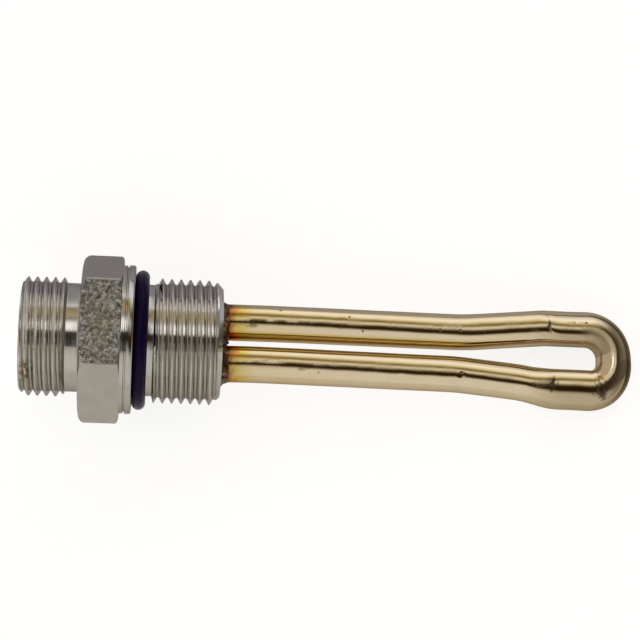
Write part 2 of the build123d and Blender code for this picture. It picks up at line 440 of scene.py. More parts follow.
def thread_rows(x0, x1, pitch, crest_at_top, crest_r, depth, env_pts, worn):
    """Rows that follow the helix, clamped to x0..x1. Returns x, r and crest mask, each (rows, columns)."""
    ph, dip, half = thread_profile(pitch, depth)
    ref = crest_at_top + pitch * 90.0 / 360.0         # crest position at angle 0
    k0 = math.floor((x0 - pitch / 2 - ref) / pitch) - 1
    k1 = math.ceil((x1 + pitch / 2 - ref) / pitch) + 1
    s = np.array([ref + pitch * (k + u) for k in range(k0, k1 + 1) for u in ph])
    u = np.array([v for k in range(k0, k1 + 1) for v in ph])
    dip = np.tile(dip, k1 + 1 - k0)
    lo = np.searchsorted(s, x0 - pitch / 2, side="right") - 1
    hi = np.searchsorted(s, x1 + pitch / 2, side="left")
    s, u, dip = s[lo:hi + 1], u[lo:hi + 1], dip[lo:hi + 1]
    x = s[:, None] - pitch * cols[None, :] / 360.0
    uu = np.repeat(u[:, None], N, 1)
    r = np.repeat(crest_r + dip[:, None], N, 1)
    # small wear on the crests
    if worn:
        cr = np.exp(-(uu / 0.10) ** 2)
        wob = sum(a * np.sin(cols_r[None, :] * f + x * g + q) for a, f, g, q in
                  ((0.5, 9, 1.1, 0.3), (0.35, 23, 2.3, 1.9), (0.25, 51, 3.1, 4.0), (0.2, 87, 0.7, 2.2)))
        r = r - worn * cr * (0.5 + 0.5 * wob)
    xc = np.clip(x, x0, x1)
    ex = np.array([p[0] for p in env_pts])
    er = np.array([p[1] for p in env_pts])
    env_r = np.interp(xc, ex, er)
    limit = env_r < r
    r = np.minimum(r, env_r)
    crest = np.exp(-(uu / (half + 0.004)) ** 8) - np.exp(-((0.5 - np.abs((uu + 0.5) % 1.0 - 0.5)) / (0.58 / 0.42 * half + 0.006)) ** 8)
    crest = np.where(limit, 0.35, crest)
    return xc, r, crest


class Grid:
    def __init__(self):
        self.x, self.r, self.kind, self.crest, self.links = [], [], [], [], []

    def ring(self, x, r, kind=0.0, crest=0.0):
        self.x.append(np.broadcast_to(np.asarray(x, float), (N,)).copy())
        self.r.append(np.broadcast_to(np.asarray(r, float), (N,)).copy())
        self.kind.append(kind)
        self.crest.append(np.broadcast_to(np.asarray(crest, float), (N,)).copy())
        self.links.append(0)

    def helix(self, x, r, crest, kind):
        for i in range(len(x)):
            self.ring(x[i], r[i], kind, crest[i])
            self.links[-1] = -1 if i == 0 else 1      # 1: this row's seam to the row before steps back by NP

    def line(self, x0, r0, x1, r1, n, kind=0.0):
        """n rows from the last one's end to (x1, r1), without the first point."""
        for i in range(1, n + 1):
            f = i / n
            self.ring(x0 + (x1 - x0) * f, r0 + (r1 - r0) * f, kind)


def rounded(pts, size=0.09):
    """A turned profile's corners broken by a small chamfer."""
    out = [pts[0]]
    for a, b, c in zip(pts, pts[1:], pts[2:]):
        a, b, c = map(np.array, (a, b, c))
        la, lc = np.linalg.norm(a - b), np.linalg.norm(c - b)
        e = min(size, la / 3, lc / 3)
        out.append(tuple(b + (a - b) / la * e))
        out.append(tuple(b + (c - b) / lc * e))
    out.append(pts[-1])
    return out


G = Grid()
# inside: chamber, socket, mouth
G.ring(chamber_x, chamber_r, 0)
G.ring(socket_floor_x, chamber_r, 0)
G.ring(socket_floor_x, socket_r, 0)
for x, r in rounded([(socket_floor_x, socket_r), (cord_end_x + 0.5, socket_r), (cord_end_x, socket_r + 0.5), (cord_end_x, cord_mouth_r)], 0.07)[1:]:
    G.ring(x, r, 0)
# cord thread
xt, rt, ct = thread_rows(cord_end_x, cord_thread_end_x + 0.6, cord_pitch, -22.87, cord_thread_r, cord_depth,
                         [(cord_end_x, cord_mouth_r), (cord_end_x + cord_chamfer, cord_thread_r + 0.01),
                          (cord_thread_end_x, cord_thread_r + 0.01), (cord_thread_end_x + 0.6, neck_r)], 0.10)
G.helix(xt, rt, ct, 1.0)
# neck, with a fillet into the hexagon
nx = cord_thread_end_x + 0.6
G.ring(nx + 0.12, neck_r)
for i in range(1, 8):
    G.ring(nx + 0.12 + (hex_x0 - 0.35 - nx - 0.12) * i / 7, neck_r)
for a in (20, 45, 70):
    a = math.radians(a)
    G.ring(hex_x0 - 0.35 + 0.35 * math.sin(a), neck_r + 0.35 - 0.35 * math.cos(a))
G.ring(hex_x0, neck_r + 0.35, 2.0)
for r in (12.8, 13.9, 15.0, 15.8):
    G.ring(hex_x0, r, 2.0)
tau_b = np.arcsin(np.clip((hex_r - 16.0) / 2.475, 0, 1))
tau_f = np.arcsin(np.clip((hex_r - 16.45) / 2.02, 0, 1))
xb = hex_x0 + 0.02 + 1.6 * (1 - np.cos(tau_b))
xf = hex_x1 - 0.02 - 0.7 * (1 - np.cos(tau_f))
for f in (0.0, 0.2, 0.4, 0.6, 0.8, 0.97):
    G.ring(hex_x0 + 0.02 * f + 1.6 * (1 - np.cos(tau_b * f)), 16.0 + (hex_r - 16.0) * np.where(tau_b > 1e-6, np.sin(tau_b * f) / np.maximum(np.sin(tau_b), 1e-6), f) - 0.03, 2.0)
# hexagon sides
HR = 74
e = 0.05
side_x = np.concatenate([[0.0], np.linspace(0.008, 0.992, HR), [1.0]])
for f in side_x:
    G.ring(xb + e + (xf - xb - 2 * e) * f, hex_r, 3.0)
front_r = np.minimum(hex_r, 16.45)
for f in (0.95, 0.7, 0.4, 0.0):
    G.ring(hex_x1 - 0.7 * (1 - np.cos(tau_f * f)), front_r + (hex_r - front_r) * np.where(tau_f > 1e-6, np.sin(tau_f * f) / np.maximum(np.sin(tau_f), 1e-6), f) - 0.03, 2.0)
G.ring(hex_x1, (front_r + collar_back_r) / 2, 2.0)
# collar with its groove, ring seat, undercut
prof = rounded([(hex_x1, collar_back_r), (collar_groove_x[0], collar_back_r), (collar_groove_x[0], collar_groove_r),
                (collar_groove_x[1], collar_groove_r), (collar_groove_x[1], collar_r), (-collar_edge, collar_r),
                (0, collar_r - collar_edge), (0, seat_r), (-seat_depth, seat_r), (-seat_depth, relief_r + 0.3),
                (-seat_depth + 0.3, relief_r), (relief_x, relief_r)], 0.06)
for x, r in prof:
    G.ring(x, r, 0)
# engine thread
xt, rt, ct = thread_rows(relief_x, eng_end_x, eng_pitch, 5.63, eng_thread_r, eng_depth,
                         [(relief_x, relief_r), (eng_thread_x0, eng_thread_r + 0.01), (eng_thread_x1, eng_thread_r + 0.01),
                          (eng_end_x - 0.15, eng_end_r + 0.15), (eng_end_x, eng_end_r)], 0.03)
G.helix(xt, rt, ct, 1.0)

X, RR = np.array(G.x), np.array(G.r)
KIND = np.repeat(np.array(G.kind)[:, None], N, 1)
CREST = np.array(G.crest)
P = np.stack([X, RR * sin_c[None, :], RR * cos_c[None, :]], 2)

# the hammered face: overlapping dents on the +Z flat
on_side = (KIND == 3.0) & (np.abs(cols)[None, :] < 29.0)
x_, y_ = P[..., 0], P[..., 1]
edge_x = np.minimum(x_ - xb[None, :], xf[None, :] - x_)
edge_y = 9.238 - np.abs(y_)
mask = np.clip(edge_x / 0.22, 0, 1) * np.clip(edge_y / 0.25, 0, 1)
dz = np.zeros_like(x_)
ncell = 520
dents = np.stack([rng.uniform(hex_x0, hex_x1, ncell), rng.uniform(-9.2, 9.2, ncell), rng.uniform(0.32, 0.66, ncell), rng.uniform(0.5, 1.0, ncell)], 1)
calm = np.exp(-((dents[:, 0] + 6.7) / 2.3) ** 4 - ((dents[:, 1] + 0.8) / 5.5) ** 4)
dents[:, 3] *= 1 - 0.6 * calm
ii, jj = np.where(on_side)
px, py = x_[ii, jj], y_[ii, jj]
acc = np.zeros(len(px))
for cx, cy, rad, dep in dents:
    q = ((px - cx) ** 2 + (py - cy) ** 2) / rad ** 2
    m = q < 2.2
    qq = q[m]
    # bowl with a raised rim
    acc[m] += rad * dep * 0.30 * (np.where(qq < 1, -(1 - qq) ** 1.2, 0) + 0.30 * np.exp(-((np.sqrt(qq) - 1.08) / 0.2) ** 2))
acc = np.clip(acc, -0.30, 0.08) - 0.04
dz[ii, jj] = acc
P[..., 2] += dz * mask

rows = len(X)
idx = np.arange(rows * N).reshape(rows, N)
F = []
for i in range(rows - 1):
    a, b = idx[i], idx[i + 1]
    for j in range(N - 1):
        F.append((a[j], a[j + 1], b[j + 1], b[j]))
    if G.links[i + 1] == 1:
        ia, ib = i - NP, i + 1 - NP
        first_h = max(k for k in range(i + 1) if G.links[k] == -1)
        ia, ib = max(ia, first_h), max(ib, first_h)
        F.append((a[N - 1], idx[ia][0], idx[ib][0], b[N - 1]))
    else:
        F.append((a[N - 1], a[0], b[0], b[N - 1]))
P = P.reshape(-1, 3)
# end walls: an annular disc pierced by the two legs, inside and outside, joined by the leg holes
HN = 72
ha = np.linspace(0, 2 * math.pi, HN, endpoint=False)
base = len(P)
hole_pts = []
hole_id = {}
for side, xx in (("in", chamber_x), ("out", eng_end_x)):
    for k, yy in enumerate((leg_y, -leg_y)):
        ids = np.arange(HN) + base + len(hole_pts)
        hole_id[side, k] = ids
        for a in ha:
            hole_pts.append((xx, yy + sheath_r * math.sin(a), sheath_r * math.cos(a)))
P = np.concatenate([P, np.array(hole_pts)])
for k in (0, 1):
    a, b = hole_id["in", k], hole_id["out", k]
    for j in range(HN):
        F.append((a[j], a[(j + 1) % HN], b[(j + 1) % HN], b[j]))


def fill_disc(ring_ids, holes):
    """Triangulates the disc between an outer ring and holes, in its own plane."""
    from mathutils.geometry import delaunay_2d_cdt
    loops = [list(ring_ids)] + [list(h) for h in holes]
    ids = [i for l in loops for i in l]
    co = [Vector((P[i][1], P[i][2])) for i in ids]
    edges, n = [], 0
    for l in loops:
        edges += [(n + j, n + (j + 1) % len(l)) for j in range(len(l))]
        n += len(l)
    vs, es, fs, ov, oe, of_ = delaunay_2d_cdt(co, edges, [], 0, 1e-6, True)
    out = []
    for f in fs:
        src = [ov[v][0] if ov[v] else None for v in f]
        if None in src:
            continue
        cy = sum(co[s_][0] for s_ in src) / 3
        cz = sum(co[s_][1] for s_ in src) / 3
        if any(math.hypot(cy - yy, cz) < sheath_r * 0.999 for yy in (leg_y, -leg_y)):
            continue
        if cy * cy + cz * cz > 400:
            continue
        out.append([ids[s_] for s_ in src])
    return out


F += fill_disc(idx[0], [hole_id["in", 0], hole_id["in", 1]])
F += fill_disc(idx[-1], [hole_id["out", 0], hole_id["out", 1]])
first, F = weld(P, F)
kind_v = np.concatenate([KIND.ravel(), np.full(4 * HN, 0.0)])[first]
crest_v = np.concatenate([CREST.ravel(), np.zeros(4 * HN)])[first]
peen_v = np.concatenate([(on_side * mask).ravel(), np.zeros(4 * HN)])[first]
P = P[first]
F = orient(P, F)
plug_P, plug_F = P, F

# ---- plug material -------------------------------------------------------------------
plug_m, t, p = material("plug_steel")
loc = attr(t, "loc", 1)
sx = nd(t, "ShaderNodeSeparateXYZ", out=None, i0=loc)
x, y, z = sx.outputs[0], sx.outputs[1], sx.outputs[2]
rad = ma(t, "SQRT", ma(t, "ADD", ma(t, "MULTIPLY", y, y), ma(t, "MULTIPLY", z, z)))
kind = attr(t, "kind")
crest_a = attr(t, "crest")
crest = ma(t, "MAXIMUM", crest_a, 0.0)
root = ma(t, "MAXIMUM", ma(t, "MULTIPLY", crest_a, -1.0), 0.0)
peen = smooth(t, attr(t, "peen"), 0.15, 0.7)
is_thread = ma(t, "MULTIPLY", smooth(t, kind, 0.5, 0.9), smooth(t, kind, 1.1, 1.5, 1.0, 0.0))
is_hex = smooth(t, kind, 1.5, 1.9)
is_side = smooth(t, kind, 2.5, 2.9)
# turning marks run round the axis: noise over x and radius only
turn_v = vec(t, ma(t, "MULTIPLY_ADD", rad, 1.3, x), 0.0, 0.0)
turn = noise(t, turn_v, 9.0, 4.0, 0.65)
turn_fine = noise(t, turn_v, 38.0, 2.0, 0.6)
blotch = noise(t, loc, 0.35, 3.0, 0.6)
speck = noise(t, loc, 5.5, 3.0, 0.7)
base_c = mix(t, lin(t, blotch, 0.3, 0.7), col(0.56, 0.535, 0.50), col(0.50, 0.475, 0.44))
base_c = mix(t, lin(t, turn, 0.35, 0.7, 0.0, 0.35), base_c, col(0.42, 0.40, 0.37))
# thread flanks and roots carry painted shade and light: darker on the lower side and towards the top edge, lighter
# in between; roots darker, dirt specks in the flanks and roots, crests rubbed pale
flank_shade_and_dirt = ma(t, "MULTIPLY", is_thread, ma(t, "SUBTRACT", 1.0, crest))
cord_side = smooth(t, x, -14.0, -12.0, 1.0, 0.0)
dirt_amt = ma(t, "MULTIPLY", flank_shade_and_dirt, ma(t, "ADD", lin(t, speck, 0.55, 0.80, 0.0, 0.22), ma(t, "MULTIPLY", cord_side, 0.05)))
# painted shade and light: the flank colour goes darker on the lower side and towards the top edge, lighter in
# between, by where the light falls
flank_shaded_c = mix(t, smooth(t, y, -6.5, -3.0), col(0.66, 0.65, 0.59), col(0.98, 0.965, 0.93))
flank_shaded_c = mix(t, smooth(t, y, 5.9, 7.8), flank_shaded_c, col(0.77, 0.73, 0.715))
base_c = mix(t, ma(t, "MULTIPLY", flank_shade_and_dirt, 0.95), base_c, flank_shaded_c)
base_c = mix(t, ma(t, "MULTIPLY", ma(t, "MULTIPLY", root, is_thread), 0.9), base_c, col(0.36, 0.345, 0.31))
base_c = mix(t, dirt_amt, base_c, col(0.34, 0.30, 0.27))
rub = ma(t, "MULTIPLY", is_thread, smooth(t, crest, 0.45, 0.85))
base_c = mix(t, ma(t, "MULTIPLY", rub, 0.8), base_c, col(0.55, 0.50, 0.475))
# rust on the cord thread, towards the viewer's side
rv = vec(t, ma(t, "MULTIPLY", x, 1.0), ma(t, "MULTIPLY", y, 1.0), 0.0)
rust_n = noise(t, loc, 0.9, 4.0, 0.65)
rust_area = ma(t, "MULTIPLY", ma(t, "MULTIPLY", smooth(t, x, -24.0, -23.0), smooth(t, x, -21.6, -19.6, 1.0, 0.0)), ma(t, "MULTIPLY", smooth(t, y, -12.0, -10.0), smooth(t, y, -8.6, -6.6, 1.0, 0.0)))
rust = ma(t, "MULTIPLY", ma(t, "MULTIPLY", rust_area, smooth(t, z, 2.0, 4.0)), smooth(t, rust_n, 0.44, 0.58))
rust = ma(t, "MULTIPLY", rust, cord_side)
base_c = mix(t, ma(t, "MULTIPLY", rust, 0.75), base_c, col(0.20, 0.10, 0.045))
# hammered face: darker, greyer in the dents, straw tint in the middle
pn = noise(t, loc, 1.15, 4.0, 0.7)
pv = nd(t, "ShaderNodeTexVoronoi", {"feature": "F1"}, Vector=loc, Scale=1.05, Randomness=1.0)
gold = ma(t, "MULTIPLY", smooth(t, ma(t, "ABSOLUTE", ma(t, "ADD", x, 6.9)), 0.8, 3.0, 1.0, 0.0), smooth(t, ma(t, "ABSOLUTE", ma(t, "ADD", y, 0.8)), 3.0, 7.0, 1.0, 0.0))
gold = ma(t, "MULTIPLY", gold, lin(t, noise(t, loc, 1.3, 3.0, 0.6), 0.35, 0.6, 0.15, 0.9))
peen_c = mix(t, lin(t, pn, 0.34, 0.66), col(1.0, 0.98, 0.94), col(0.18, 0.165, 0.14))
peen_c = mix(t, ma(t, "MULTIPLY", gold, 0.7), peen_c, col(0.46, 0.41, 0.22), "MIX")
base_c = mix(t, peen, base_c, peen_c)
flank = ma(t, "MULTIPLY", is_thread, ma(t, "SUBTRACT", 1.0, crest))
rough = ma(t, "ADD", 0.085, ma(t, "MULTIPLY", lin(t, turn_fine, 0.3, 0.7, -0.02, 0.04), ma(t, "SUBTRACT", 1.0, is_thread)))
rough = ma(t, "ADD", rough, ma(t, "MULTIPLY", flank, -0.055))
rough = ma(t, "ADD", rough, ma(t, "MULTIPLY", ma(t, "MULTIPLY", is_side, ma(t, "SUBTRACT", 1.0, peen)), 0.30))
rough = ma(t, "ADD", rough, ma(t, "MULTIPLY", peen, 0.05))
rough = ma(t, "ADD", rough, ma(t, "MULTIPLY", rub, 0.20))
rough = ma(t, "ADD", rough, ma(t, "MULTIPLY", ma(t, "MULTIPLY", is_thread, cord_side), 0.02))
rough = ma(t, "ADD", rough, ma(t, "MULTIPLY", rust, 0.4))
h_turn = ma(t, "MULTIPLY", ma(t, "ADD", ma(t, "MULTIPLY", turn, 0.7), ma(t, "MULTIPLY", turn_fine, 0.3)), ma(t, "SUBTRACT", 1.0, is_hex))
milled = noise(t, vec(t, ma(t, "MULTIPLY", x, 0.7), ma(t, "MULTIPLY", y, 7.0), ma(t, "MULTIPLY", z, 7.0)), 1.6, 3.0, 0.6)
h_hex = ma(t, "MULTIPLY", milled, ma(t, "MULTIPLY", is_hex, 0.35))
n1 = bump(t, ma(t, "ADD", h_turn, h_hex), 0.000012, 0.8)
h_peen = ma(t, "ADD", ma(t, "MULTIPLY", pv, 0.9), ma(t, "MULTIPLY", pn, 1.2))
h_peen = ma(t, "MULTIPLY", h_peen, ma(t, "MULTIPLY_ADD", gold, -0.55, 1.0))
n2 = bump(t, ma(t, "MULTIPLY", h_peen, peen), 0.00078, 1.0, n1)
worn_h = ma(t, "MULTIPLY", noise(t, loc, 3.4, 4.0, 0.65), ma(t, "MULTIPLY", is_thread, ma(t, "MULTIPLY_ADD", cord_side, 0.22, 0.04)))
n3 = bump(t, worn_h, 0.00005, 0.7, n2)
put(t, p, Base_Color=base_c, Metallic=1.0, Roughness=rough, Normal=n3, Specular_Tint=(0.62, 0.60, 0.58, 1.0))
build("plug", plug_P, plug_F, plug_m, "plug_body",
      {"kind": kind_v, "crest": crest_v, "peen": peen_v}, sharp=30.0)
print("plug", len(plug_P), "points", sum(len(f) - 2 for f in plug_F), "triangles")

# ======================================================================================
# sealing ring
# ======================================================================================
UN, VN = 320, 48
a = np.linspace(0, 2 * math.pi, UN, endpoint=False)
b = np.linspace(0, 2 * math.pi, VN, endpoint=False)
A, B = np.meshgrid(a, b, indexing="ij")
flash = 0.035 * np.exp(-((np.angle(np.exp(1j * B))) / 0.05) ** 2)      # mould line on the outer diameter
wave = 0.02 * np.sin(3 * A + 0.6) + 0.012 * np.sin(7 * A)
rs = ring_section_r - 0.012 + flash
rr_ = ring_r + rs * np.cos(B)
xx = ring_x + rs * np.sin(B) + wave
P = np.stack([xx, rr_ * np.sin(A), rr_ * np.cos(A)], 2).reshape(-1, 3)
ids = np.arange(UN * VN).reshape(UN, VN)
F = [(ids[i, j], ids[(i + 1) % UN, j], ids[(i + 1) % UN, (j + 1) % VN], ids[i, (j + 1) % VN]) for i in range(UN) for j in range(VN)]
F = orient(P, F)
rub_m, t, p = material("seal_rubber")
loc = attr(t, "loc", 1)
n_ = noise(t, loc, 0.5, 3.0, 0.6)
f_ = noise(t, loc, 9.0, 3.0, 0.6)
c = mix(t, lin(t, n_, 0.3, 0.7), col(0.0075, 0.0030, 0.028), col(0.0105, 0.0042, 0.040))
c = mix(t, smooth(t, f_, 0.62, 0.80, 0.0, 0.25), c, col(0.035, 0.025, 0.08))
put(t, p, Base_Color=c, Roughness=ma(t, "ADD", 0.21, lin(t, f_, 0.3, 0.7, -0.04, 0.06)),
    Normal=bump(t, ma(t, "ADD", f_, ma(t, "MULTIPLY", n_, 2.0)), 0.00002, 0.6), Specular_IOR_Level=0.08)
build("sealing_ring", P, F, rub_m, "o_ring", sharp=None)

# ======================================================================================
# heating element: one tube, both legs and the loop
# ======================================================================================


def fillet_path(pts, radii, step, tight):
    """Points, unit tangents and arc length along straight runs joined by tangent arcs."""
    pts = [np.array(q, float) for q in pts]
    out, tan = [], []
    cur = pts[0]
    for k in range(1, len(pts)):
        d_in = pts[k] - pts[k - 1]
        d_in /= np.linalg.norm(d_in)
        if k < len(pts) - 1:
            d_out = pts[k + 1] - pts[k]
            d_out /= np.linalg.norm(d_out)
            turn_a = math.acos(np.clip(np.dot(d_in, d_out), -1, 1))
            tl = radii[k - 1] * math.tan(turn_a / 2)
            end = pts[k] - d_in * tl
        else:
            end = pts[k]
        L = np.linalg.norm(end - cur)
        n = max(2, int(math.ceil(L / step(cur[0]))))
        for i in range(n):
            out.append(cur + (end - cur) * i / n)
            tan.append(d_in)
        if k < len(pts) - 1:
            sgn = np.sign(d_in[0] * d_out[1] - d_in[1] * d_out[0])
            nrm = np.array([-d_in[1], d_in[0]]) * sgn
            ctr = end + nrm * radii[k - 1]
            n = max(3, int(math.ceil(radii[k - 1] * turn_a / tight(end[0]))))
            for i in range(n):
                w = turn_a * i / n
                c_, s_ = math.cos(w), math.sin(w) * sgn
                rot = np.array([[c_, -s_], [s_, c_]])
                out.append(ctr + rot @ (-nrm * radii[k - 1]))
                tan.append(rot @ d_in)
            cur = pts[k] + d_out * tl
        else:
            out.append(end)
            tan.append(d_in)
    out, tan = np.array(out), np.array(tan)
    s_ = np.concatenate([[0], np.cumsum(np.linalg.norm(np.diff(out, axis=0), axis=1))])
    return out, tan, s_


fine = 0.30
C, T, S_ = fillet_path(route, route_radii, lambda x_: 1.0 if x_ < 60 else 0.45, lambda x_: fine)
off_y = np.where(S_ < S_[int(np.argmax(C[:, 0]))],
                 np.interp(C[:, 0], [17.0, 20.5, 27.0, 64.0, 90.0, 105.2], [0.0, 0.14, 0.20, 0.02, -0.03, -0.10]),
                 np.interp(C[:, 0], [17.0, 20.5, 27.0, 64.0, 90.0, 105.2], [0.0, 0.13, 0.18, -0.19, -0.30, -0.30]))
blend = np.clip((S_ - S_[int(np.argmax(C[:, 0]))] + 8) / 16, 0, 1)
near_nose = C[:, 0] > 96.0
off_y[near_nose] = (-0.06 - 0.24 * (blend * blend * (3 - 2 * blend)))[near_nose]
off_y = np.convolve(np.pad(off_y, 12, mode="edge"), np.ones(25) / 25, mode="valid")
C[:, 1] += off_y
NR = len(C)
top_leg = T[:, 0] > 0.0
nose_s = S_[int(np.argmax(C[:, 0]))]
CN = 104
ang = np.linspace(0, 2 * math.pi, CN, endpoint=False)
# in-plane and out-of-plane half widths: the loop is squeezed flatter where it was bent
xs_ = C[:, 0]
far = np.clip((xs_ - 88.6) / 4.2, 0, 1)
far = far * far * (3 - 2 * far)
sg = np.clip((S_ - nose_s + 6) / 12, 0, 1)            # 0 on the rear leg, 1 on the front leg
at_nose = np.exp(-((S_ - nose_s) / 8.0) ** 4)
far_l = np.clip((xs_ - 85.0) / 8.0, 0, 1)
far_l = far_l * far_l * (3 - 2 * far_l)
far_w = np.clip((xs_ - 85.0) / 7.0, 0, 1)
far_w = far_w * far_w * (3 - 2 * far_w)
wide = 1 + far_w * (0.005 + 0.085 * sg) * (1 - at_nose) - 0.03 * at_nose
flat = 1 - far * (0.01 + 0.035 * sg)
Nn = np.stack([-T[:, 1], T[:, 0]], 1)                  # outward side of the loop
NN = CN
Ai = np.repeat(ang[None, :], NR, 0)
rad_n = sheath_r * wide[:, None]
rad_b = sheath_r * flat[:, None]
# forming marks: a step where the bending die ended, ripples inside the front bend, a few small dents
Sx, An = np.repeat(S_[:, None], NN, 1), np.degrees(np.angle(np.exp(1j * Ai)))
Xl = np.repeat(xs_[:, None], NN, 1)
dr = np.zeros((NR, NN))
is_top = np.repeat((S_ < nose_s)[:, None], NN, 1)


def lump(sc, ac, ws, wa, h):
    """A smooth lump or dent at arc length sc and angle ac (0 towards +Z, 90 outward)."""
    da_ = (An - ac + 180) % 360 - 180
    return h * np.exp(-((Sx - sc) / ws) ** 2 - (da_ / wa) ** 2)


def s_at(x_, rear=True):
    m = (S_ < nose_s) if rear else (S_ >= nose_s)
    k = np.argmin(np.where(m, np.abs(xs_ - x_), 1e9))
    return S_[k]


s_rear = s_at(90.35, True)
s_front = s_at(91.15, False)
zig_r = 0.30 * np.sin(np.radians(An) * 5 + 0.4) + 0.15 * np.sin(np.radians(An) * 11)
dr += -0.05 * np.exp(-((Sx - s_rear - zig_r) / 0.33) ** 2) * np.clip(np.cos(np.radians(An - 20)) * 2, 0, 1)
dr += -0.028 * np.exp(-((Sx - s_front - 0.7 * zig_r) / 0.33) ** 2) * np.clip(np.cos(np.radians(An - 40)) * 2, 0, 1)
s_wr = s_at(101.4, False)
ripple = np.sin((Sx - s_wr) * 5.2 + 0.06 * An) * np.exp(-((Sx - s_wr) / 2.0) ** 2)
dr += 0.022 * ripple * np.exp(-(((An - 20 + 180) % 360 - 180) / 26.0) ** 2)
for sc, ac, ws, wa, h in (
        (s_at(70.4), 52, 0.5, 9, -0.05), (s_at(70.6, False), 12, 0.55, 8, -0.06), (s_at(86.0), -38, 0.8, 7, -0.04),
        (s_at(31.0), 40, 0.5, 8, -0.03), (s_at(45.6), 22, 0.5, 7, 0.03), (s_at(65.7), 8, 0.5, 7, -0.04),
        (s_at(95.0), 12, 0.5, 7, -0.05), (s_at(97.5), 12, 0.4, 7, -0.05), (s_at(57.0, False), 30, 0.8, 9, -0.03)):
    dr += lump(sc, ac, ws, wa, h)
# very slight waviness of a drawn and straightened tube
dr += 0.005 * np.sin(Sx * 0.41 + 1.1) + 0.002 * np.sin(Sx * 1.07 + np.radians(An) * 2)
lean = ((far * 0.50 * (1 - sg) + far_l * 1.08 * sg) * (1 - 0.55 * at_nose))[:, None]      # the ridge leans inwards round the loop
Pn = (rad_n + dr) * np.sin(Ai) - lean * np.maximum(np.cos(Ai), 0)
Pn += ((0.26 * np.exp(-((S_ - nose_s + 5.4) / 4.5) ** 2) + 0.42 * np.exp(-((S_ - nose_s - 5.4) / 4.5) ** 2))[:, None]) * np.clip(np.sin(Ai), 0, 1)
Pb = (rad_b + dr) * np.cos(Ai)
outer = np.stack([C[:, 0, None] + Nn[:, 0, None] * Pn, C[:, 1, None] + Nn[:, 1, None] * Pn, Pb], 2)
# bore, on every sixth row
pick = np.unique(np.concatenate([np.arange(0, NR, 6), [NR - 1]]))
inner = np.stack([C[pick, 0, None] + Nn[pick, 0, None] * sheath_bore_r * np.sin(Ai[pick]),
                  C[pick, 1, None] + Nn[pick, 1, None] * sheath_bore_r * np.sin(Ai[pick]),
                  sheath_bore_r * np.cos(Ai[pick])], 2)
P = np.concatenate([outer.reshape(-1, 3), inner.reshape(-1, 3)])
io = np.arange(NR * NN).reshape(NR, NN)
ii_ = NR * NN + np.arange(len(pick) * NN).reshape(len(pick), NN)
F = []
for i in range(NR - 1):
    for j in range(NN):
        k = (j + 1) % NN
        F.append((io[i, j], io[i, k], io[i + 1, k], io[i + 1, j]))
for i in range(len(pick) - 1):
    for j in range(NN):
        k = (j + 1) % NN
        F.append((ii_[i, j], ii_[i + 1, j], ii_[i + 1, k], ii_[i, k]))
for j in range(NN):
    k = (j + 1) % NN
    F.append((io[0, j], ii_[0, j], ii_[0, k], io[0, k]))
    F.append((io[-1, j], io[-1, k], ii_[-1, k], ii_[-1, j]))
F = orient(P, F)
arc_v = np.concatenate([Sx.ravel(), Sx[pick].ravel()])
ang_v = np.concatenate([An.ravel(), An[pick].ravel()])
ref = np.stack([C[:, 0, None] + 0 * Pn, C[:, 1, None] + 0 * Pn, 0 * Pn], 2)

sh_m, t, p = material("sheath_steel")
loc = attr(t, "loc", 1)
sx = nd(t, "ShaderNodeSeparateXYZ", out=None, i0=loc)
x, y, z = sx.outputs[0], sx.outputs[1], sx.outputs[2]
arc, angd = attr(t, "arc"), attr(t, "ang")
front = smooth(t, arc, nose_s - 2, nose_s + 2)
# distance from the plug along either leg
total = float(S_[-1])
run = ma(t, "MINIMUM", arc, ma(t, "SUBTRACT", total, arc))
run = ma(t, "SUBTRACT", run, eng_end_x - leg_x0)           # 0 at the plug's end face
cloud = noise(t, loc, 0.22, 3.0, 0.55)
streak = noise(t, vec(t, ma(t, "MULTIPLY", arc, 0.10), ma(t, "MULTIPLY", ma(t, "SINE", ma(t, "RADIANS", angd)), 5.0), ma(t, "MULTIPLY", ma(t, "COSINE", ma(t, "RADIANS", angd)), 5.0)), 1.5, 3.0, 0.6)
straw = mix(t, lin(t, cloud, 0.3, 0.7), col(0.775, 0.645, 0.445), col(0.745, 0.605, 0.400))
straw = mix(t, lin(t, streak, 0.4, 0.75, 0.0, 0.30), straw, col(0.70, 0.56, 0.355))
# paler towards the nose, deeper gold near the plug
straw = mix(t, smooth(t, run, 0.0, 26.0, 0.50, 0.0), straw, col(0.72, 0.56, 0.30))
straw = mix(t, smooth(t, run, 66.0, 92.0, 0.0, 0.35), straw, col(0.78, 0.67, 0.50))
# heat colours beside the braze
hn = noise(t, loc, 0.8, 3.0, 0.6)
run_w = ma(t, "ADD", run, lin(t, hn, 0.3, 0.7, -0.45, 0.45))
glowed = ramp(t, ma(t, "MULTIPLY", run_w, 0.1), [
    (0.0, col(0.13, 0.07, 0.035)), (0.12, col(0.20, 0.09, 0.04)), (0.22, col(0.60, 0.17, 0.05)), (0.34, col(0.74, 0.30, 0.07)),
    (0.42, col(0.72, 0.48, 0.10)), (0.56, col(0.66, 0.54, 0.19)), (0.78, col(0.70, 0.58, 0.30)), (1.0, col(0.74, 0.61, 0.38))])
olive = ramp(t, ma(t, "MULTIPLY", run_w, 0.1), [
    (0.0, col(0.10, 0.065, 0.035)), (0.14, col(0.16, 0.10, 0.05)), (0.22, col(0.42, 0.25, 0.08)), (0.30, col(0.60, 0.43, 0.12)),
    (0.45, col(0.62, 0.52, 0.22)), (0.70, col(0.68, 0.57, 0.31)), (1.0, col(0.74, 0.61, 0.38))])
spread_ = smooth(t, noise(t, loc, 0.42, 2.0, 0.5), 0.44, 0.56)
heat = mix(t, spread_, olive, glowed)
straw = mix(t, smooth(t, run_w, 3.5, 9.0, 1.0, 0.0), straw, heat)
